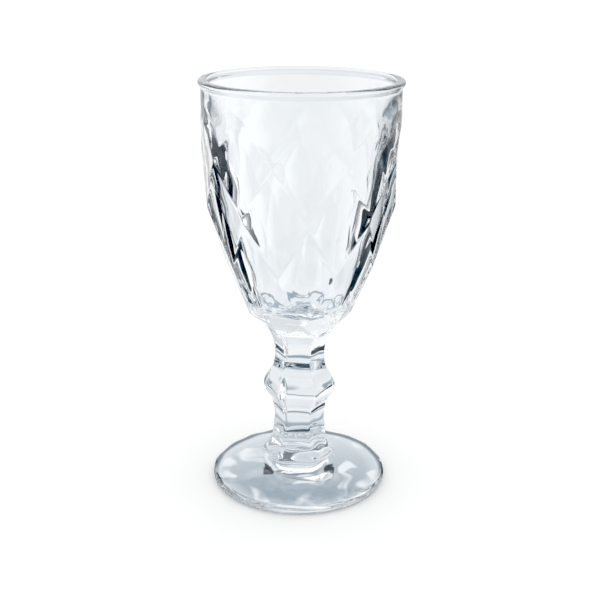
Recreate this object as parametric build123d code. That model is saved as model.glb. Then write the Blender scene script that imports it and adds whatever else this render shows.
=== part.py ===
from build123d import *
import math
import os

# A small stemmed cordial glass of clear pressed glass.
# Sizes are in millimetres. The glass stands on Z = 0 and its axis is Z.
# It is made of three pieces that are fused end to end while hot: foot, stem and bowl.

# Foot: a round disc with a rounded edge, which rises to a flat pad under the stem
foot_radius = 22.8
foot_edge_thickness = 2.2
foot_pad_height = 4.7
foot_pad_margin = 0.5
foot_hollow_radius = 17.0
foot_hollow_depth = 0.8

# Stem: six-sided, with radii measured to its corners and heights stacked from the foot's pad up
stem_sides = 6
stem_base_radius = 7.5
bell_radius = 9.95
bell_rise = 2.2
lower_flare_height = 9.9
lower_flare_turn = 2.1
lower_neck_radius = 6.6
lower_crease_rise = 5.1
lower_crease_turn = 2.7
lower_crease_radius = 7.5
knop_lower_slope = 3.3
knop_radius = 9.4
knop_band = 1.0
knop_upper_slope = 4.8
upper_crease_radius = 7.1
upper_crease_rise = 3.9
upper_crease_turn = 2.2
upper_neck_radius = 6.5
upper_flare_height = 7.4
upper_flare_turn = 4.1
stem_top_radius = 9.1

# Bowl rim: a round lip, a narrower neck under it, and a round collar that the top facets run into
lip_radius = 24.75
lip_thickness = 2.4
lip_inner_share = 0.9
neck_inset = 0.85
neck_rise = 2.5
collar_inset = 0.15
collar_band = 3.3
collar_taper = 3.0
collar_tuck = 2.0
rim_rise = 6.3

# Bowl outside: rings of ridge points, each ring turned half a step from the one below it.
# Hollow facets, each hung between four ridge points, make long diamonds.
diamonds_around = 9
base_ring_radius = 13.1
base_ring_rise = 4.2
lower_ring_radius = 19.45
lower_ring_rise = 13.8
middle_ring_radius = 23.4
middle_ring_rise = 14.45
upper_ring_inset = 0.05
upper_ring_rise = 13.25
shoulder_ring_inset = 0.15
shoulder_ring_rise = 10.7

# Bowl inside: a smooth round hollow, with its wall measured behind the middle of a facet
base_thickness = 6.2
floor_radius = 10.3
floor_round = 5.0
middle_wall = 3.74

# Heights of the stem's outline, of the joints and of the bowl's rings
stem_bottom = foot_pad_height
bell_height = stem_bottom + bell_rise
lower_neck_height = bell_height + lower_flare_height
lower_crease_height = lower_neck_height + lower_crease_rise
knop_bottom = lower_crease_height + knop_lower_slope
knop_top = knop_bottom + knop_band
upper_crease_height = knop_top + knop_upper_slope
upper_neck_height = upper_crease_height + upper_crease_rise
stem_top = upper_neck_height + upper_flare_height
base_ring_height = stem_top + base_ring_rise
lower_ring_height = base_ring_height + lower_ring_rise
middle_ring_height = lower_ring_height + middle_ring_rise
upper_ring_height = middle_ring_height + upper_ring_rise
shoulder_ring_height = upper_ring_height + shoulder_ring_rise
glass_height = shoulder_ring_height + rim_rise

# Radii that follow the lip
neck_radius = lip_radius - neck_inset
collar_radius = lip_radius - collar_inset
tucked_radius = collar_radius - collar_tuck
upper_ring_radius = lip_radius - upper_ring_inset
shoulder_ring_radius = lip_radius - shoulder_ring_inset
mouth_radius = lip_radius - lip_thickness

# A regular polygon's flats stand this share of its corner radius from the axis
stem_flat = math.cos(math.pi / stem_sides)
bowl_flat = math.cos(math.pi / diamonds_around)


def ring_points(count, radius, height, half_turn=False):
    """Points evenly spaced round the axis, the first on +X or half a step past it."""
    step = 2 * math.pi / count
    start = step / 2 if half_turn else 0.0
    angles = [start + step * i for i in range(count)]
    return [Vector(radius * math.cos(a), radius * math.sin(a), height) for a in angles]


def flat_face(*points):
    return Face(Wire.make_polygon(points, close=True))


def diamond_row(low, sides, high, sides_behind):
    """Hollow facets, each stretched between a point below, one at either side and one above."""
    count = len(sides)
    faces = []
    for i in range(count):
        behind = sides[(i - 1) % count] if sides_behind else sides[i]
        ahead = sides[i] if sides_behind else sides[(i + 1) % count]
        faces.append(Face.make_bezier_surface([[low[i], ahead], [behind, high[i]]]))
    return faces


def half_row(pair, tips, pair_behind):
    """Flat triangles that end the pattern, each on two points of one ring and one point of the next."""
    count = len(pair)
    faces = []
    for i in range(count):
        behind = pair[(i - 1) % count] if pair_behind else pair[i]
        ahead = pair[i] if pair_behind else pair[(i + 1) % count]
        faces.append(flat_face(behind, ahead, tips[i]))
    return faces


def underside_band(low, high):
    """Triangles between two rings of unequal count, taken in the order of their angles."""
    faces = []
    i = 0
    j = 0
    while i < len(low) or j < len(high):
        at_low = low[i % len(low)]
        at_high = high[j % len(high)]
        high_comes_first = (j + 1) * len(low) <= (i + 1) * len(high)
        if high_comes_first:
            j += 1
            faces.append(flat_face(at_low, high[j % len(high)], at_high))
        else:
            i += 1
            faces.append(flat_face(at_low, low[i % len(low)], at_high))
    return faces


def make_foot():
    """The foot's half outline, from the hollow under it round the edge to the pad, turned about the axis."""
    edge_round = foot_edge_thickness / 2
    edge_start = foot_radius - edge_round
    pad_radius = stem_base_radius + foot_pad_margin
    with BuildPart() as foot:
        with BuildSketch(Plane.XZ):
            with BuildLine():
                TangentArc((0, foot_hollow_depth), (foot_hollow_radius, 0), tangent=(1, 0))
                Line((foot_hollow_radius, 0), (edge_start, 0))
                ThreePointArc(
                    (edge_start, 0),
                    (foot_radius, edge_round),
                    (edge_start, foot_edge_thickness),
                )
                Polyline(
                    (edge_start, foot_edge_thickness),
                    (pad_radius, foot_pad_height),
                    (0, foot_pad_height),
                    (0, foot_hollow_depth),
                )
            make_face()
        revolve(axis=Axis.Z)
    return foot.part


def stem_side(reach):
    """One flat side of the stem as a slab: the outline is the flat's distance from the axis."""
    base = (stem_base_radius * stem_flat, stem_bottom)
    bell = (bell_radius * stem_flat, bell_height)
    lower_neck = (lower_neck_radius * stem_flat, lower_neck_height)
    lower_crease = (lower_crease_radius * stem_flat, lower_crease_height)
    knop_low = (knop_radius * stem_flat, knop_bottom)
    knop_high = (knop_radius * stem_flat, knop_top)
    upper_crease = (upper_crease_radius * stem_flat, upper_crease_height)
    upper_neck = (upper_neck_radius * stem_flat, upper_neck_height)
    top = (stem_top_radius * stem_flat, stem_top)
    lower_flare_bend = (lower_neck[0], bell_height + lower_flare_turn)
    lower_crease_bend = (lower_neck[0], lower_neck_height + lower_crease_turn)
    upper_crease_bend = (upper_neck[0], upper_crease_height + upper_crease_turn)
    upper_flare_bend = (upper_neck[0], upper_neck_height + upper_flare_turn)
    with BuildPart() as side:
        with BuildSketch(Plane.XZ):
            with BuildLine():
                Line(base, bell)
                Bezier(bell, lower_flare_bend, lower_neck)
                Bezier(lower_neck, lower_crease_bend, lower_crease)
                Polyline(lower_crease, knop_low, knop_high, upper_crease)
                Bezier(upper_crease, upper_crease_bend, upper_neck)
                Bezier(upper_neck, upper_flare_bend, top)
                Polyline(top, (-reach, stem_top), (-reach, stem_bottom), base)
            make_face()
        extrude(amount=reach, both=True)
    return side.part


def make_stem():
    """The same side on every flat of the stem, crossed with the others."""
    reach = 2 * max(stem_base_radius, bell_radius, knop_radius, stem_top_radius)
    side = stem_side(reach)
    turn = 360 / stem_sides
    stem = Rot(0, 0, turn / 2) * side
    for i in range(1, stem_sides):
        stem = stem & (Rot(0, 0, turn / 2 + turn * i) * side)
    return stem


def make_facets():
    """The bowl's outside up to the shoulder, as one solid of facets."""
    seat = ring_points(stem_sides, stem_top_radius, stem_top)
    base = ring_points(diamonds_around, base_ring_radius, base_ring_height)
    lower = ring_points(diamonds_around, lower_ring_radius, lower_ring_height, True)
    middle = ring_points(diamonds_around, middle_ring_radius, middle_ring_height)
    upper = ring_points(diamonds_around, upper_ring_radius, upper_ring_height, True)
    shoulder = ring_points(diamonds_around, shoulder_ring_radius, shoulder_ring_height)
    faces = [flat_face(*seat)]
    faces += underside_band(seat, base)
    faces += half_row(base, lower, False)
    faces += diamond_row(base, lower, middle, True)
    faces += diamond_row(lower, middle, upper, False)
    faces += diamond_row(middle, upper, shoulder, True)
    faces += half_row(shoulder, upper, False)
    faces.append(flat_face(*shoulder))
    return Solid(Shell(faces))


def make_rim():
    """The round lip, neck and collar, solid to the axis. The collar narrows below, inside the facets."""
    lip_round = lip_thickness / 2
    lip_middle = lip_radius - lip_round
    lip_height = glass_height - lip_round
    neck_overlap = neck_radius - lip_middle
    neck_top = lip_height - math.sqrt(lip_round**2 - neck_overlap**2)
    collar_top = shoulder_ring_height
    collar_bottom = collar_top - collar_band
    taper_bottom = collar_bottom - collar_taper
    with BuildPart() as rim:
        with BuildSketch(Plane.XZ):
            with BuildLine():
                Polyline(
                    (lip_middle, glass_height),
                    (0, glass_height),
                    (0, taper_bottom),
                    (tucked_radius, taper_bottom),
                    (collar_radius, collar_bottom),
                    (collar_radius, collar_top),
                    (neck_radius, collar_top + neck_rise),
                    (neck_radius, neck_top),
                )
                ThreePointArc(
                    (neck_radius, neck_top),
                    (lip_radius, lip_height),
                    (lip_middle, glass_height),
                )
            make_face()
        revolve(axis=Axis.Z)
    return rim.part


def make_hollow():
    """The space inside the bowl, carried up past the lip. Its side is one arc from floor to lip."""
    floor = stem_top + base_thickness
    middle_radius = middle_ring_radius * bowl_flat - middle_wall
    mouth_height = glass_height - lip_thickness / 2
    above = glass_height + lip_thickness
    with BuildPart() as hollow:
        with BuildSketch(Plane.XZ):
            with BuildLine():
                ThreePointArc(
                    (floor_radius, floor),
                    (middle_radius, middle_ring_height),
                    (mouth_radius, mouth_height),
                )
                Polyline(
                    (mouth_radius, mouth_height),
                    (mouth_radius, above),
                    (0, above),
                    (0, floor),
                    (floor_radius, floor),
                )
            make_face()
        revolve(axis=Axis.Z)
        floor_edge = hollow.edges().filter_by(GeomType.CIRCLE).group_by(Axis.Z)[0]
        fillet(floor_edge, floor_round)
    return hollow.part


def make_bowl():
    """Facets and rim as one piece of glass, hollowed. The lip's inner edge is rounded over, and its
    round is a share of half the lip's thickness, so that it always fits there."""
    bowl = make_facets() + make_rim() - make_hollow()
    lip_edges = bowl.edges().filter_by(GeomType.CIRCLE).group_by(Axis.Z)[-1]
    inner_edge = lip_edges.sort_by(SortBy.RADIUS)[0]
    inner_round = lip_inner_share * lip_thickness / 2
    return bowl.fillet(inner_round, [inner_edge])


os.makedirs("parts", exist_ok=True)
pieces = {
    "foot": make_foot(),
    "stem": make_stem(),
    "bowl": make_bowl(),
}
for name, piece in pieces.items():
    export_step(piece, f"parts/{name}.step")
    print(name, round(piece.volume, 1), "cubic mm")
print("height", round(glass_height, 3), "mm")
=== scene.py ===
# %% [markdown]
# This is a small stemmed cordial glass of clear pressed glass: a round foot, a six-sided stem and a bowl
# with long diamond facets, fused while hot. The solids of the part are loaded first.

# %% Load the solids
import math
import bpy
import numpy as np
from mathutils import Matrix


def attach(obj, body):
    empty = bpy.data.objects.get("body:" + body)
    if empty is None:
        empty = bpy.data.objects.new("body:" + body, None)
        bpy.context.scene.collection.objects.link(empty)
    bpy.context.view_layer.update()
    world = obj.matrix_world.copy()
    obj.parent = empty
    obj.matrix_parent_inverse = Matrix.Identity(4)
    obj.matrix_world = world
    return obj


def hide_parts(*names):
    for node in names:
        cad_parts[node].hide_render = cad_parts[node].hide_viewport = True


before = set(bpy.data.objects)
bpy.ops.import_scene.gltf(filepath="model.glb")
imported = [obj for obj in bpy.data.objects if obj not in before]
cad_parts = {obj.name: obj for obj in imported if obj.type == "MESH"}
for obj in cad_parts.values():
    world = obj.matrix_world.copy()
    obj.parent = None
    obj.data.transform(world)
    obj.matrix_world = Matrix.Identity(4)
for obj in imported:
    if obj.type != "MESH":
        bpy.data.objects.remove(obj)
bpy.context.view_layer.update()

print("solids:", sorted(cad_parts))

# %% [markdown]
# All of the glass is arranged round one upright axis. The solids could get bevels, but a bevel has one
# width, while a flame softens each ridge of pressed glass as its form allows. So each piece is made again
# as a stack of rings, with a radius for each of many directions, because such a sheet of radii is easy to
# soften. Sizes are in millimetres, as in the solids, and heights are counted from the table.

# %% Directions round the axis
MM = 0.001
columns = 432
turns = np.arange(columns) * (2 * math.pi / columns)


def ring_points(count, radius):
    angles = np.arange(count) * (2 * math.pi / count)
    return np.stack([radius * np.cos(angles), radius * np.sin(angles)], 1)


def polygon_radius(corners):
    """Distance from the axis to a polygon's outline, for every direction."""
    x, y = corners[:, 0], corners[:, 1]
    next_x, next_y = np.roll(x, -1), np.roll(y, -1)
    across = x * next_y - next_x * y
    keep = across > 1e-9
    slope = np.cos(turns)[:, None] * (next_y - y)[keep] - np.sin(turns)[:, None] * (next_x - x)[keep]
    start = np.arctan2(y, x)[keep]
    sweep = np.arctan2(across, x * next_x + y * next_y)[keep]
    behind = (turns[:, None] - start[None, :] + 1e-9) % (2 * math.pi)
    inside = behind <= sweep[None, :] + 2e-9
    return np.where(inside, across[keep] / np.where(inside, slope, 1.0), np.inf).min(1)


print("radii in", columns, "directions")

# %% [markdown]
# The stem comes from a mould with six equal flats, so one outline serves for all of them. It runs from
# the bell on the foot past a thin neck and the knop to the flare under the bowl. Blender's curve objects
# could draw it, but a list of short runs can be looked up at any height. A run is straight, or it is a
# bend with one handle. The radii are those of the corners, and a hexagon of size one gives the flats.

# %% Outline of the stem
stem_sides = 6
stem_bottom = 4.7
stem_top = 42.3
stem_top_radius = 9.1
stem_runs = [
    [(8.0, stem_bottom), (9.3, 5.9)],
    [(9.3, 5.9), (10.2, 6.8), (9.75, 7.8)],
    [(9.75, 7.8), (8.1, 10.1)],
    [(8.1, 10.1), (7.2, 11.2), (6.95, 13.5)],
    [(6.95, 13.5), (6.6, 16.8)],
    [(6.6, 16.8), (6.6, 19.5), (7.5, 21.9)],
    [(7.5, 21.9), (8.7, 23.4), (9.3, 24.8)],
    [(9.3, 24.8), (9.7, 26.2), (9.3, 27.0)],
    [(9.3, 27.0), (8.8, 28.9), (7.2, 30.6)],
    [(7.2, 30.6), (6.5, 32.4), (6.5, 34.9)],
    [(6.5, 34.9), (6.5, 39.0), (stem_top_radius, stem_top)],
]


def run_points(run, steps=40):
    t = np.linspace(0, 1, steps)[:, None]
    corners = [np.array(point) for point in run]
    if len(corners) == 2:
        return (1 - t) * corners[0] + t * corners[1]
    return (1 - t) ** 2 * corners[0] + 2 * t * (1 - t) * corners[1] + t ** 2 * corners[2]


stem_outline = np.concatenate([run_points(run) for run in stem_runs])
hexagon = polygon_radius(ring_points(stem_sides, 1.0))


def stem_row(height):
    return np.interp(height, stem_outline[:, 1], stem_outline[:, 0]) * hexagon


widest = stem_outline[:, 0].max()
print("stem outline from", stem_bottom, "to", stem_top, "mm, widest", round(widest, 2), "mm from the axis")

# %% [markdown]
# The bowl's pattern is a net of ridges that cross at rings of nine points, each ring turned by half a
# step from the one below. The last ring lies above the lip and only leads the pattern on. Flat triangles
# lead from the stem's six corners to the lowest nine points. They could be drawn as faces, but the sheet
# needs radii. So they are cut at a given height: that makes a polygon, whose corners lie on the edges that
# join the stem's corners to the ring.

# %% Underside of the bowl
diamonds_around = 9
half_step = math.pi / diamonds_around
diamond_rings = [
    (13.1, 46.5), (19.45, 60.3), (23.4, 74.75), (24.7, 88.0), (24.25, 98.7), (24.25, 109.0),
]


def underside_row(height):
    """Corners are taken in the order of their angles, from both rings in turn."""
    share = (height - stem_top) / (diamond_rings[0][1] - stem_top)
    low = ring_points(stem_sides, stem_top_radius)
    high = ring_points(diamonds_around, diamond_rings[0][0])
    corners = []
    i = 0
    j = 0
    while i < stem_sides or j < diamonds_around:
        corners.append((1 - share) * low[i % stem_sides] + share * high[j % diamonds_around])
        if (j + 1) * stem_sides <= (i + 1) * diamonds_around:
            j += 1
        else:
            i += 1
    return polygon_radius(np.array(corners))


print("net of", len(diamond_rings), "rings with", diamonds_around, "points each")

# %% [markdown]
# Above them every diamond hangs between four ridge points like a sheet drawn tight, a little hollow, as
# a cutter's wheel leaves it in the mould. Blender could make it as a grid between four edges, but the
# sheet needs its radius at a given height and direction. A few rounds of guess and correction find it.

# %% One hollow diamond


def diamond_radius(sides, low, high, height, turn):
    """A hollow diamond at one height; turn is the angle from its upright middle line."""
    side_x = sides[0] * math.cos(half_step)
    side_y = sides[0] * math.sin(half_step)
    fall = high[1] - sides[1]
    bend = (high[1] - 2 * sides[1] + low[1]) / 4
    x = np.full_like(turn, side_x)
    for _ in range(12):
        across = x * np.tan(turn) / side_y
        rest = high[1] - height - bend * across ** 2
        down = 2 * rest / (fall + np.sqrt(fall ** 2 - 4 * bend * rest))
        twist = (down ** 2 - across ** 2) / 4
        x = high[0] * (1 - down + twist) + side_x * (down - 2 * twist) + low[0] * twist
    return x / np.cos(turn)


middle = diamond_radius(*[diamond_rings[k] for k in (2, 1, 3)], diamond_rings[2][1], np.zeros(1))[0]
print("a diamond's middle lies", round(diamond_rings[2][0] - middle, 2), "mm behind the ridge points")

# %% [markdown]
# One diamond could be copied round the bowl by an Array modifier, but the copies would have to be welded.
# Instead a ring is cut through all of them: the lower halves of one row and the upper halves of the row
# before it. The straight ridges between them tell which half a direction belongs to. The lowest and the
# highest halves are flat, because the pattern ends there.

# %% Rows of diamonds


def facet_row(height):
    k = 0
    while height > diamond_rings[k + 1][1]:
        k += 1
    low, high = diamond_rings[k], diamond_rings[k + 1]
    share = (height - low[1]) / (high[1] - low[1])
    offset = k % 2 * half_step
    from_low = (turns - offset + half_step) % (2 * half_step) - half_step
    from_high = (turns - offset) % (2 * half_step) - half_step
    ridge_x = (1 - share) * low[0] + share * high[0] * math.cos(half_step)
    ridge_y = share * high[0] * math.sin(half_step)
    over_low = np.abs(from_low) <= math.atan2(ridge_y, ridge_x)
    if k + 2 < len(diamond_rings):
        after = diamond_rings[k + 2]
        lower_half = diamond_radius(high, low, after, height, np.where(over_low, from_low, 0))
    else:
        lower_half = ridge_x / np.cos(from_low)
    if k > 0:
        before = diamond_rings[k - 1]
        upper_half = diamond_radius(low, before, high, height, np.where(over_low, 0, from_high))
    else:
        flat = (1 - share) * low[0] * math.cos(half_step) + share * high[0]
        upper_half = flat / np.cos(from_high)
    return np.where(over_low, lower_half, upper_half)


halfway = facet_row(70.0)
print("facets at 70 mm go from", round(halfway.min(), 2), "to", round(halfway.max(), 2), "mm from the axis")

# %% [markdown]
# Under the lip the pattern runs out into a round collar, so that the mouth meets smooth glass. A Boolean
# modifier could join the two, but would leave a hard line. Here the larger radius wins, with a soft change
# between them, as in glass that was hot enough to flow. Higher up the facets fade away.

# %% Collar
collar_outline = np.array([
    (22.3, 90.0), (23.2, 92.2), (23.75, 94.2), (24.02, 96.0), (24.12, 97.8), (24.12, 100.0), (24.1, 102.4),
])
facet_end = 94.0
collar_top = 99.0
collar_blend = 0.4


def fade(value, none, full):
    """Smooth step from 0, where the value is at none, to 1, where it is at full."""
    t = np.clip((value - none) / (full - none), 0, 1)
    return t * t * (3 - 2 * t)


def bowl_row(height):
    if height <= diamond_rings[0][1]:
        return underside_row(height)
    if height < collar_outline[0, 1]:
        return facet_row(height)
    round_part = np.full(columns, np.interp(height, collar_outline[:, 1], collar_outline[:, 0]))
    if height >= collar_top:
        return round_part
    joined = np.logaddexp(facet_row(height) / collar_blend, round_part / collar_blend) * collar_blend
    share = fade(height, facet_end, collar_top)
    return (1 - share) * joined + share * round_part


print("facets fade between", facet_end, "and", collar_top, "mm")

# %% [markdown]
# Stem and bowl share one sheet of radii, a row for each height, up to where the lip begins. Each could
# have a sheet of its own, but softened together they meet in one smooth line.

# %% Sheet of radii
stem_rings = 127
bowl_rings = 151
stem_heights = np.linspace(stem_bottom, stem_top, stem_rings)
bowl_heights = np.linspace(stem_top, collar_outline[-1, 1], bowl_rings)
heights = np.concatenate([stem_heights, bowl_heights[1:]])
sheet = np.array([stem_row(z) for z in stem_heights] + [bowl_row(z) for z in bowl_heights[1:]])
print("sheet of", sheet.shape, "radii from", round(sheet.min(), 2), "to", round(sheet.max(), 2), "mm")

# %% [markdown]
# Pressed glass leaves the mould with sharp ridges, and a flame then softens them. A Bevel or a Smooth
# modifier could do it on the mesh, but a blur of the sheet by a fifth of a millimetre, round the axis and
# along it, is even and can be measured. Rows mirrored past both ends keep the ends in place.

# %% Fire polish
ridge_round = 0.22
mirrored_rows = 8


def round_off(sheet, size):
    """Blur round the axis, by the same length in every row."""
    waves = np.arange(columns // 2 + 1)
    damp = np.exp(-0.5 * (waves[None, :] * size / sheet.mean(1)[:, None]) ** 2)
    return np.fft.irfft(np.fft.rfft(sheet, axis=1) * damp, columns, axis=1)


def fire_polish(sheet, heights, size):
    """Blur round the axis and along it."""
    sheet = round_off(sheet, size)
    below = np.arange(mirrored_rows, 0, -1)
    above = np.arange(1, mirrored_rows + 1)
    first_step = heights[1] - heights[0]
    last_step = heights[-1] - heights[-2]
    tall = np.concatenate([heights[0] - below * first_step, heights, heights[-1] + above * last_step])
    wide = np.concatenate([2 * sheet[0] - sheet[below], sheet, 2 * sheet[-1] - sheet[-1 - above]])
    near = np.exp(-0.5 * ((heights[:, None] - tall[None, :]) / size) ** 2)
    weight = near * np.gradient(tall)[None, :]
    return (weight / weight.sum(1, keepdims=True)) @ wide


polished = fire_polish(sheet, heights, ridge_round)
print("polish moves the skin by", round(float(np.abs(polished - sheet).max()), 2), "mm at most")

# %% [markdown]
# The bell at the stem's lower end was pressed against the hot foot, and its corners are rounder than
# those above. It is blurred more, but only round the axis, because a blur along it would flatten it.

# %% Bell
bell_round = 1.2
bell_top = 13.0
bell_full = 10.0
bell = fade(heights, bell_top, bell_full)[:, None]
sheet = (1 - bell) * polished + bell * round_off(polished, bell_round)
stem_sheet = sheet[:stem_rings]
bowl_sheet = sheet[stem_rings - 1:]
print("bell's lowest ring goes from", round(sheet[0].min(), 2), "to", round(sheet[0].max(), 2), "mm")

# %% [markdown]
# Soda-lime glass is clear with a breath of blue, and its refractive index is 1.52. The Principled shader
# has both: full transmission with that index, and a base colour that tints what shines through. A Glass
# shader would look much the same, but the Principled one can be taken to other programs.

# %% Glass
glass = bpy.data.materials.new("clear_glass")
glass.use_nodes = True
shader = glass.node_tree.nodes["Principled BSDF"]
shader.inputs["Base Color"].default_value = (0.968, 0.986, 1.0, 1)
shader.inputs["IOR"].default_value = 1.52
shader.inputs["Transmission Weight"].default_value = 1.0
print(glass.name, "has the refractive index", round(shader.inputs["IOR"].default_value, 2))

# %% [markdown]
# No glass is polished evenly. Two fine noises show that: one dulls the skin a little here and there, the
# other lifts it by a few thousandths of a millimetre. The points of the mesh could be moved for it, but a
# bump is enough for waves that don't change the outline. Larger waves follow later, as real shapes.

# %% Uneven polish
dullest = 0.012
skin_lift = 0.000006


def noise(tree, place, scale, detail):
    texture = tree.nodes.new("ShaderNodeTexNoise")
    texture.inputs["Scale"].default_value = scale
    texture.inputs["Detail"].default_value = detail
    tree.links.new(place, texture.inputs["Vector"])
    return texture


def map_range(tree, source, from_min, from_max, to_min, to_max):
    span = tree.nodes.new("ShaderNodeMapRange")
    span.inputs["From Min"].default_value = from_min
    span.inputs["From Max"].default_value = from_max
    span.inputs["To Min"].default_value = to_min
    span.inputs["To Max"].default_value = to_max
    tree.links.new(source, span.inputs["Value"])
    return span


tree = glass.node_tree
place = tree.nodes.new("ShaderNodeTexCoord").outputs["Object"]
sheen = noise(tree, place, 160, 3)
polish = map_range(tree, sheen.outputs["Fac"], 0.45, 0.8, 0.0, dullest)
tree.links.new(polish.outputs["Result"], shader.inputs["Roughness"])
skin = noise(tree, place, 330, 1)
bump = tree.nodes.new("ShaderNodeBump")
bump.inputs["Strength"].default_value = 1.0
bump.inputs["Distance"].default_value = skin_lift
tree.links.new(skin.outputs["Fac"], bump.inputs["Height"])
tree.links.new(bump.outputs["Normal"], shader.inputs["Normal"])
print("roughness up to", dullest, "and bump up to", skin_lift / MM, "mm")

# %% [markdown]
# Two pieces that were welded hot have no skin between them. Both still end there with faces of their own,
# because a closed mesh tells Cycles where glass begins and ends. Those faces get a transparent shader, and
# the light goes straight through.

# %% Fused joint
weld = bpy.data.materials.new("fused_joint")
weld.use_nodes = True
tree = weld.node_tree
tree.nodes.clear()
clear = tree.nodes.new("ShaderNodeBsdfTransparent")
weld_out = tree.nodes.new("ShaderNodeOutputMaterial")
tree.links.new(clear.outputs[0], weld_out.inputs[0])
print("materials:", glass.name, "and", weld.name)

# %% [markdown]
# A piece of glass has a skin all round, so its mesh has to be closed. One function turns a chain of
# rings into such a mesh, with a fan of faces at either end. A Screw modifier could do it, but only for
# round pieces, and these have a radius of their own in every direction.

# %% Closed mesh from rings


def ring_mesh(name, chain):
    """chain holds (radius, height) from one end on the axis to the other; a radius may be a row."""
    start, *middle, end = chain
    rows = []
    for radius, height in middle:
        r = np.broadcast_to(np.asarray(radius, float), columns)
        rows.append(np.stack([r * np.cos(turns), r * np.sin(turns), np.full(columns, float(height))], 1))
    points = np.concatenate([[[0, 0, start[1]]], *rows, [[0, 0, end[1]]]]) * MM
    here = np.arange(columns)
    there = (here + 1) % columns
    last = 1 + (len(rows) - 1) * columns
    tip = np.full(columns, len(points) - 1)
    faces = np.stack([np.zeros(columns, int), 1 + there, 1 + here], 1).tolist()
    for low in range(1, last, columns):
        high = low + columns
        faces += np.stack([low + here, low + there, high + there, high + here], 1).tolist()
    faces += np.stack([tip, last + here, last + there], 1).tolist()
    mesh = bpy.data.meshes.new(name)
    mesh.from_pydata(points.tolist(), [], faces)
    mesh.update(calc_edges=True)
    mesh.polygons.foreach_set("use_smooth", np.ones(len(faces), bool))
    print(name, "has", len(rows), "rings and", len(faces), "faces")
    return mesh


# %% [markdown]
# Where two pieces were fused, the fan at the end gets the joint's material. It could be a piece of its
# own, but then the glass would no longer be closed. The fan's border is marked as sharp, so that smooth
# shading doesn't bend round it.

# %% Fused ends


def weld_ends(mesh, joints):
    """joints names the fused ends of the chain, start or end."""
    last_ring = (len(mesh.vertices) - 2) // columns - 1
    slots = np.zeros(len(mesh.polygons), np.int32)
    ends = np.empty(len(mesh.edges) * 2, np.int32)
    mesh.edges.foreach_get("vertices", ends)
    ring = (ends.reshape(-1, 2) - 1) // columns
    sharp = np.zeros(len(mesh.edges), bool)
    for joint in joints:
        fan = slice(0, columns) if joint == "start" else slice(-columns, None)
        border = 0 if joint == "start" else last_ring
        slots[fan] = 1
        sharp |= (ring == border).all(1)
    mesh.polygons.foreach_set("material_index", slots)
    mark = mesh.attributes.new("sharp_edge", "BOOLEAN", "EDGE")
    mark.data.foreach_set("value", sharp)


def make_piece(name, chain, joints):
    mesh = ring_mesh(name, chain)
    weld_ends(mesh, joints)
    mesh.materials.append(glass)
    mesh.materials.append(weld)
    piece = bpy.data.objects.new(name, mesh)
    bpy.context.scene.collection.objects.link(piece)
    print(name, "is fused at its", " and its ".join(joints))
    return piece


# %% [markdown]
# A mould that is cooler than the glass leaves soft chill ripples on the skin. They are what makes the
# lines in pressed glass waver. A Displace modifier could make them, but here the points move along their
# normals by a sum of long waves with a fixed seed, so that joints and edges can be kept still.

# %% Chill ripples
waves_added = 16


def chill_ripples(piece, strength, length, seed):
    """strength gives the height of the waves at every point, length their usual length, both in mm."""
    mesh = piece.data
    flat = np.empty(len(mesh.vertices) * 3, np.float32)
    mesh.vertices.foreach_get("co", flat)
    points = flat.reshape(-1, 3).astype(float) / MM
    mesh.vertices.foreach_get("normal", flat)
    normals = flat.reshape(-1, 3).astype(float)
    rng = np.random.default_rng(seed)
    lean = rng.normal(size=(waves_added, 3))
    lean /= np.linalg.norm(lean, axis=1, keepdims=True)
    lean *= 2 * math.pi / (length * rng.uniform(0.7, 1.5, (waves_added, 1)))
    shift = rng.uniform(0, 2 * math.pi, waves_added)
    swell = np.cos(points @ lean.T + shift).sum(1) / math.sqrt(waves_added / 2)
    move = strength(points) * swell
    points += normals * move[:, None]
    mesh.vertices.foreach_set("co", (points * MM).ravel().astype(np.float32))
    mesh.update()
    print(piece.name, "ripples move the skin by", round(float(np.abs(move).max()), 3), "mm at most")


# %% [markdown]
# A plunger presses the hollow of the bowl. From the mouth down its side is one wide arc, whose middle lies
# far beyond the axis, and a small round leads over to the flat floor. A curve object with a few handles
# could draw it, but the solids have two arcs here, and so has this outline. Two rings on the flat floor
# give the ripples points to move.

# %% Hollow of the bowl
mouth = (22.35, 103.8)
wall_middle = (-161.886, 114.983)
wall_round = 184.575
floor_height = 48.5
floor_round = 5.0
round_middle = (6.836, floor_height + floor_round)
floor_rings = (4.5, 2.2)


def arc(middle, radius, start, end, steps):
    angles = np.radians(np.linspace(start, end, steps))
    return [(middle[0] + radius * math.cos(a), middle[1] + radius * math.sin(a)) for a in angles]


def angle_from(middle, point):
    return math.degrees(math.atan2(point[1] - middle[1], point[0] - middle[0]))


floor_turn = angle_from(wall_middle, round_middle)
hollow = arc(wall_middle, wall_round, angle_from(wall_middle, mouth), floor_turn, 40)
hollow += arc(round_middle, floor_round, floor_turn, -90, 14)[1:]
hollow += [(radius, floor_height) for radius in floor_rings]
print("hollow is", round(mouth[1] - floor_height, 1), "mm deep below the mouth's edge")

# %% [markdown]
# A Solidify modifier could give the bowl a wall, but a pressed wall has another thickness at each height.
# So one skin runs from the joint with the stem up the facets, over a lip with a nearly flat top, and down
# the hollow to the middle of its floor. The lip is written as points, because the flame has pulled it out
# of any round form.

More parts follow.
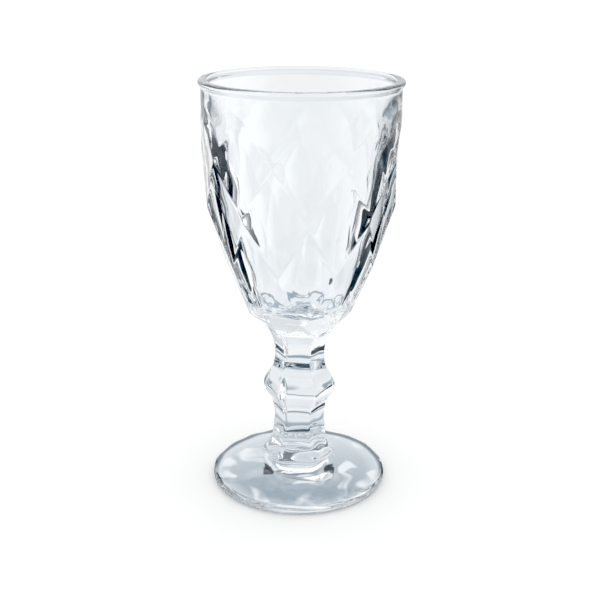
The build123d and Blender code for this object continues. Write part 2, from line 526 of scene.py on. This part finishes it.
# %% Bowl
lip_outline = [
    (24.1, 102.8), (24.12, 103.1), (24.22, 103.35), (24.45, 103.6), (24.67, 103.9), (24.75, 104.25),
    (24.74, 104.5), (24.64, 104.74), (24.45, 104.91), (24.15, 104.99), (23.8, 105.0), (23.4, 105.0),
    (23.05, 104.98), (22.78, 104.88), (22.56, 104.68), (22.42, 104.38), (22.37, 104.1),
]
chain = [(0, stem_top), *zip(bowl_sheet, bowl_heights), *lip_outline, *hollow, (0, floor_height)]
bowl = make_piece("bowl_glass", chain, ["start"])

# %% [markdown]
# The hollow ripples most at its floor, where the plunger's end is coolest. The facets ripple a little.
# One strength for all of it would dent the lip, which the flame has smoothed, so the strength fades away
# towards the lip and the rim of the joint.

# %% Ripples of the bowl
hollow_ripple = 0.02
floor_ripple = 0.12
facet_ripple = 0.02
skin_margin = 0.05


def bowl_ripples(points):
    reach = np.hypot(points[:, 0], points[:, 1])
    height = points[:, 2]
    upward = hollow[::-1]
    hollow_radius = np.interp(height, [z for r, z in upward], [r for r, z in upward])
    inner = hollow_ripple + floor_ripple * fade(height, 56, 49)
    outer = facet_ripple * fade(height, 42.5, 46)
    return np.where(reach < hollow_radius + skin_margin, inner, outer) * fade(height, 103, 99)


chill_ripples(bowl, bowl_ripples, length=6.0, seed=6)

# %% [markdown]
# The stem could be a block with a Bevel modifier, but as the lower part of the same sheet of radii it fits
# the bowl exactly. It is closed by its two joints, to the foot and to the bowl. It ripples a little between
# them, and twice as much in the bell.

# %% Stem
stem_ripple = 0.03
bell_ripple = 0.03
chain = [(0, stem_bottom), *zip(stem_sheet, stem_heights), (0, stem_top)]
stem = make_piece("stem_glass", chain, ["start", "end"])


def stem_ripples(points):
    height = points[:, 2]
    ripple = stem_ripple + bell_ripple * fade(height, bell_top, bell_full)
    return ripple * fade(height, stem_bottom, 6) * fade(height, 42.2, 40)


chill_ripples(stem, stem_ripples, length=6.0, seed=5)

# %% [markdown]
# The foot is a round disc: below it a shallow hollow inside a flat ring to stand on, then a round edge,
# and a top that rises slowly towards the stem. It could be turned from one curve by a Screw modifier, but
# its top has to end in the stem's six-sided joint, so it is a chain of rings too.

# %% Outline of the foot
foot_radius = 22.8
foot_edge_round = 1.1
foot_hollow_radius = 17.0
foot_hollow_depth = 0.8
dome = (foot_hollow_radius ** 2 + foot_hollow_depth ** 2) / (2 * foot_hollow_depth)
under_radii = np.linspace(1.5, 16.9, 12)
under = [(r, math.sqrt(dome ** 2 - r ** 2) - dome + foot_hollow_depth) for r in under_radii]
standing_ring = [(17.4, 0.0), (19.5, 0.0)]
edge_middle = (foot_radius - foot_edge_round, foot_edge_round)
edge = arc(edge_middle, foot_edge_round, -90, 80, 16)
rise_radii = [10.3, 11.0, 12.0, 13.5, 15.5, 17.5, 19.5, 21.2]
rise_heights = [3.9, 3.72, 3.5, 3.2, 2.86, 2.58, 2.35, 2.18]
top_radii = np.linspace(rise_radii[-1], rise_radii[0], 34)
top = list(zip(top_radii, np.interp(top_radii, rise_radii, rise_heights)))
print("foot is", 2 * foot_radius, "mm across and", rise_heights[-1], "mm thick at its edge")

# %% [markdown]
# Close to the stem the top sweeps up, and its rings change from round to the shape of the bell's lowest
# ring. The top cooled in the open, so it ripples nearly as much as the bowl's floor. The edge and the
# ring below it keep still, so that the glass stands flat.

# %% Foot
sweep_bend = 1.7
foot_ripple = 0.12
sweep = []
for t in np.linspace(0, 1, 12)[1:]:
    radius = (1 - t) * rise_radii[0] + t * stem_sheet[0]
    sweep.append((radius, rise_heights[0] + (stem_bottom - rise_heights[0]) * t ** sweep_bend))
chain = [(0, foot_hollow_depth), *under, *standing_ring, *edge, *top, *sweep, (0, stem_bottom)]
foot = make_piece("foot_glass", chain, ["end"])


def foot_ripples(points):
    reach = np.hypot(points[:, 0], points[:, 1])
    return foot_ripple * fade(points[:, 2], 0.9, 2.0) * fade(reach, 8.2, 10)


chill_ripples(foot, foot_ripples, length=7.0, seed=9)

# %% [markdown]
# Each finished piece stands in for the solid of the same name and moves with the whole glass.

# %% Join the look to the solids
for piece, node in ((bowl, "bowl"), (stem, "stem"), (foot, "foot")):
    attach(piece, "root")
    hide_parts(node)
    print(piece.name, "replaces", node)

# %% [markdown]
# The table is plain white paper. It lies a tenth of a millimetre below the foot, because two faces at
# the same height would fight for the light. From here on lengths are in metres, as Blender counts them.

# %% Floor
reach = 3.0
drop = -0.0001
floor_mesh = bpy.data.meshes.new("floor")
floor_corners = [(-reach, -reach), (reach, -reach), (reach, reach), (-reach, reach)]
floor_mesh.from_pydata([(x, y, drop) for x, y in floor_corners], [], [(0, 1, 2, 3)])
floor = bpy.data.objects.new("floor", floor_mesh)
bpy.context.scene.collection.objects.link(floor)
paper = bpy.data.materials.new("paper")
paper.use_nodes = True
paper_shader = paper.node_tree.nodes["Principled BSDF"]
paper_shader.inputs["Base Color"].default_value = (0.92, 0.92, 0.92, 1)
paper_shader.inputs["Roughness"].default_value = 0.9
floor_mesh.materials.append(paper)
print("floor lies at", drop, "m")

# %% [markdown]
# A white tent lights everything softly. Area lamps would leave hard glints on every facet, so the tent is
# the world's background, a little brighter than white.

# %% Tent
tent_light = 1.16
world = bpy.data.worlds.new("tent")
bpy.context.scene.world = world
world.use_nodes = True
sky = world.node_tree.nodes["Background"]
sky.inputs["Color"].default_value = (1, 1, 1, 1)
sky.inputs["Strength"].default_value = tent_light
print("tent shines with strength", tent_light)

# %% [markdown]
# Clear glass shows only what stands around it, so a photographer sets pale and black cards about it to
# draw its edges. Here they are thin sheets that glow by themselves, and that only the glass can see. The
# object's ray visibility hides them from the camera, the paper and the shadows. They are turned with the
# camera, which looks at the glass from a few degrees beside its front.

# %% Cards
view_turn = Matrix.Rotation(math.radians(5.5), 4, "Z")


def card_material(name):
    material = bpy.data.materials.new(name)
    material.use_nodes = True
    tree = material.node_tree
    tree.nodes.clear()
    glow = tree.nodes.new("ShaderNodeEmission")
    out = tree.nodes.new("ShaderNodeOutputMaterial")
    tree.links.new(glow.outputs[0], out.inputs[0])
    place = tree.nodes.new("ShaderNodeTexCoord").outputs["Object"]
    return material, glow, place


def card(name, corners, material):
    mesh = bpy.data.meshes.new(name)
    mesh.from_pydata(corners, [], [tuple(range(len(corners)))])
    mesh.materials.append(material)
    sheet_card = bpy.data.objects.new(name, mesh)
    bpy.context.scene.collection.objects.link(sheet_card)
    sheet_card.matrix_world = view_turn
    sheet_card.visible_camera = False
    sheet_card.visible_diffuse = False
    sheet_card.visible_shadow = False
    print("card", name)


# %% [markdown]
# The cards' tones change from place to place. A separate node gives the place along one axis, a length
# node its distance from the middle of the foot, and a colour ramp turns either into a tone. A painted
# picture could do this too, but a ramp has few numbers, and they can be read.

# %% Tones


def along(tree, place, axis):
    split = tree.nodes.new("ShaderNodeSeparateXYZ")
    tree.links.new(place, split.inputs[0])
    return split.outputs[axis]


def distance(tree, place):
    away = tree.nodes.new("ShaderNodeVectorMath")
    away.operation = "LENGTH"
    tree.links.new(place, away.inputs[0])
    return away.outputs["Value"]


def colour_ramp(tree, source, low, high, stops):
    """A ramp whose stops are given in the source's own units, as (value, colour with alpha)."""
    span = map_range(tree, source, low, high, 0.0, 1.0)
    ramp = tree.nodes.new("ShaderNodeValToRGB")
    tree.links.new(span.outputs["Result"], ramp.inputs["Fac"])
    ramp.color_ramp.elements.remove(ramp.color_ramp.elements[1])
    for i, (value, colour) in enumerate(stops):
        share = (value - low) / (high - low)
        stop = ramp.color_ramp.elements[0] if i == 0 else ramp.color_ramp.elements.new(share)
        stop.position = share
        stop.color = colour
    print("ramp with", len(stops), "tones from", low, "to", high, "m")
    return ramp


# %% [markdown]
# What the glass sees of the table isn't plain white. Under the foot the table lies in bluish shade, with
# a dark line below the edge. It is darkest under the solid stem, and two rings of shade lie further out,
# where foot and bowl keep the light away. Straight behind the glass lies its shadow, a little darker than
# the sides. Light that glass gathers takes very long to render, so a card just over the paper carries it
# all as painted shade and painted light. The alpha of the stops says how much the next step may brighten
# them.

# %% Shade on the table
ground, ground_glow, place = card_material("table_shade")
tree = ground.node_tree
# painted shadow of the glass: the table is darker straight behind it than to the sides
across_stops = [
    (-0.25, (1.1, 1.1, 1.1, 1)), (-0.07, (1.05, 1.05, 1.05, 1)), (-0.02, (0.93, 0.93, 0.93, 1)),
    (0.03, (0.93, 0.93, 0.93, 1)), (0.09, (0.98, 0.98, 0.98, 1)),
]
across = colour_ramp(tree, along(tree, place, "X"), -0.25, 0.25, across_stops)
# painted shade under and around the foot, with a dark painted line below its edge
shade_stops = [
    (0.0, (0.05, 0.08, 0.11, 0)), (0.0042, (0.06, 0.09, 0.12, 0)), (0.0062, (0.33, 0.40, 0.46, 1)),
    (0.0175, (0.37, 0.44, 0.50, 1)), (0.0204, (0.60, 0.66, 0.71, 1)),
    (0.0212, (0.80, 0.84, 0.87, 0)), (0.0218, (0.22, 0.25, 0.28, 0)), (0.0226, (0.24, 0.27, 0.30, 0)),
    (0.0236, (0.84, 0.87, 0.90, 0)), (0.0252, (0.40, 0.47, 0.53, 0)), (0.0305, (0.44, 0.51, 0.57, 0)),
    (0.0345, (0.92, 0.94, 0.96, 0)), (0.066, (0.95, 0.97, 0.98, 0)),
    (0.074, (0.34, 0.41, 0.47, 0)), (0.084, (0.34, 0.41, 0.47, 0)), (0.093, (1, 1, 1, 0)),
]
shade = colour_ramp(tree, distance(tree, place), 0.0, 0.1, shade_stops)
shaded = tree.nodes.new("ShaderNodeMix")
shaded.data_type = "RGBA"
shaded.blend_type = "MULTIPLY"
shaded.inputs["Factor"].default_value = 1.0
tree.links.new(shade.outputs["Color"], shaded.inputs["A"])
tree.links.new(across.outputs["Color"], shaded.inputs["B"])
print("table is shaded up to", shade_stops[-1][0], "m from the foot's middle")

# %% [markdown]
# The rippled foot gathers light into bright streaks on the table, and towards the back more light comes
# in below it. A noise with some distortion gives the streaks, a soft slope the light from the back, and
# whichever is brighter wins.

# %% Streaks under the foot
back_light = 0.62
streak_colour = (0.90, 0.93, 0.95, 1)
# painted light: streaks the rippled foot would gather, and more light towards the back
streaks = noise(tree, place, 130, 1)
streaks.inputs["Distortion"].default_value = 0.7
gathered = map_range(tree, streaks.outputs["Fac"], 0.5, 0.68, 0.0, 1.0)
gathered.interpolation_type = "SMOOTHSTEP"
behind = map_range(tree, along(tree, place, "Y"), -0.014, 0.016, 0.0, back_light)
lit = tree.nodes.new("ShaderNodeMath")
lit.operation = "MAXIMUM"
tree.links.new(gathered.outputs["Result"], lit.inputs[0])
tree.links.new(behind.outputs["Result"], lit.inputs[1])
under_foot = tree.nodes.new("ShaderNodeMath")
under_foot.operation = "MULTIPLY"
tree.links.new(lit.outputs[0], under_foot.inputs[0])
tree.links.new(shade.outputs["Alpha"], under_foot.inputs[1])
streaked = tree.nodes.new("ShaderNodeMix")
streaked.data_type = "RGBA"
tree.links.new(under_foot.outputs[0], streaked.inputs["Factor"])
tree.links.new(shaded.outputs["Result"], streaked.inputs["A"])
streaked.inputs["B"].default_value = streak_colour
tree.links.new(streaked.outputs["Result"], ground_glow.inputs["Color"])
table_corners = [(-2.5, -0.6), (2.5, -0.6), (2.5, 2.9), (-2.5, 2.9)]
card("table_card", [(x, y, drop / 2) for x, y in table_corners], ground)

# %% [markdown]
# Black felt on the table at the back, to the left and right, draws the dark strokes in the facets and
# leaves a wedge of white open behind the glass. Further out it fades to white, so that the bowl looks
# clear from the other sides too. Two slips of the same black under the foot are painted shade, which
# darkens the corners beside the stem.

# %% Black felt and painted shade
felt_and_shade, glow, place = card_material("black_felt_and_shade")
tree = felt_and_shade.node_tree
felt_and_shade_stops = [
    (0.0, (0.004, 0.009, 0.016, 1)), (0.17, (0.004, 0.009, 0.016, 1)), (0.24, (0.06, 0.08, 0.10, 1)),
    (0.29, (0.26, 0.32, 0.38, 1)), (0.34, (1, 1, 1, 1)),
]
felt_and_shade_tone = colour_ramp(tree, distance(tree, place), 0.0, 0.5, felt_and_shade_stops)
tree.links.new(felt_and_shade_tone.outputs["Color"], glow.inputs["Color"])
felt_and_shade_height = 0.00015
felt_and_shade_outlines = {
    "left_flag": [
        (-0.088, 0.045), (-0.058, 0.088), (-0.072, 0.132), (-0.16, 0.17), (-0.26, 0.3),
        (-0.42, 0.3), (-0.34, 0.045),
    ],
    "right_flag": [(0.068, 0.03), (0.34, 0.03), (0.4, 0.3), (0.145, 0.3)],
    # painted shade: two dark slips under the foot darken the corners beside the stem
    "left_painted_shade": [(-0.0090, -0.0045), (-0.0064, -0.0045), (-0.0064, 0.0005), (-0.0090, 0.0005)],
    "right_painted_shade": [(0.0066, -0.0035), (0.0088, -0.0035), (0.0088, 0.0005), (0.0066, 0.0005)],
}
for name, outline in felt_and_shade_outlines.items():
    card(name, [(x, y, felt_and_shade_height) for x, y in outline], felt_and_shade)

# %% [markdown]
# Grey cards in front and on the right keep the reflections on the front quiet. They fade to white near
# the table, so that no hard edge shows through the glass from behind. A backdrop that darkens to the
# right stands far behind.

# %% Room and backdrop
room_height = 0.5
room, glow, place = card_material("grey_room")
tree = room.node_tree
room_stops = [(0.0, (0.92, 0.94, 0.95, 1)), (0.2, (0.32, 0.35, 0.38, 1)), (0.5, (0.30, 0.33, 0.36, 1))]
room_tone = colour_ramp(tree, along(tree, place, "Z"), 0.0, room_height, room_stops)
tree.links.new(room_tone.outputs["Color"], glow.inputs["Color"])
card("front_card", [(-1, -0.5, 0), (1, -0.5, 0), (1, -0.5, room_height), (-1, -0.5, room_height)], room)
card("right_card", [(0.6, -0.5, 0), (0.6, 0.3, 0), (0.6, 0.3, room_height), (0.6, -0.5, room_height)], room)
backdrop, glow, place = card_material("backdrop")
tree = backdrop.node_tree
back_stops = [(-0.6, (1, 1, 1, 1)), (0.0, (0.86, 0.88, 0.90, 1)), (0.5, (0.60, 0.62, 0.65, 1))]
back_tone = colour_ramp(tree, along(tree, place, "X"), -1.0, 1.0, back_stops)
tree.links.new(back_tone.outputs["Color"], glow.inputs["Color"])
card("backdrop", [(-1.5, 0.9, 0), (1.5, 0.9, 0), (1.5, 0.9, 0.9), (-1.5, 0.9, 0.9)], backdrop)

# %% [markdown]
# The camera stands where the photograph was taken: a little above the lip, looking down by 19 degrees. It
# could be set by eye, but the ellipses of lip and foot in the photograph tell its place. That is counted
# in heights of the glass, because a photograph shows proportions and no lengths. Angles are in radians.

# %% Camera
glass_height = 0.105
camera_back = 2.41061
camera_up = 1.31273
look_down = 0.337084
roll = 0.007519
camera_data = bpy.data.cameras.new("camera")
camera = bpy.data.objects.new("camera", camera_data)
bpy.context.scene.collection.objects.link(camera)
camera_data.sensor_width = 36
camera_data.lens = 63.085
camera_data.clip_start = 0.01
stand = Matrix.Translation((0, -camera_back * glass_height, camera_up * glass_height))
aim = Matrix.Rotation(math.pi / 2 - look_down, 4, "X") @ Matrix.Rotation(roll, 4, "Z")
camera.matrix_world = view_turn @ stand @ aim
bpy.context.scene.camera = camera
print("camera is", round(camera.matrix_world.translation.length, 3), "m from the foot")

# %% [markdown]
# Clear glass needs many bounces, because light goes through four walls and is thrown back inside them.
# With too few, the bowl's base turns black. The picture is developed with a little more black, which
# takes the veil of reflections off the dark strokes.

# %% Light paths and development
cycles = bpy.context.scene.cycles
cycles.max_bounces = 24
cycles.transmission_bounces = 24
cycles.glossy_bounces = 12
cycles.transparent_max_bounces = 16
picture = bpy.context.scene.view_settings
picture.view_transform = "Standard"
picture.use_curve_mapping = True
picture.curve_mapping.black_level = (0.07, 0.065, 0.06)
picture.curve_mapping.update()
print("light may bounce", cycles.max_bounces, "times")
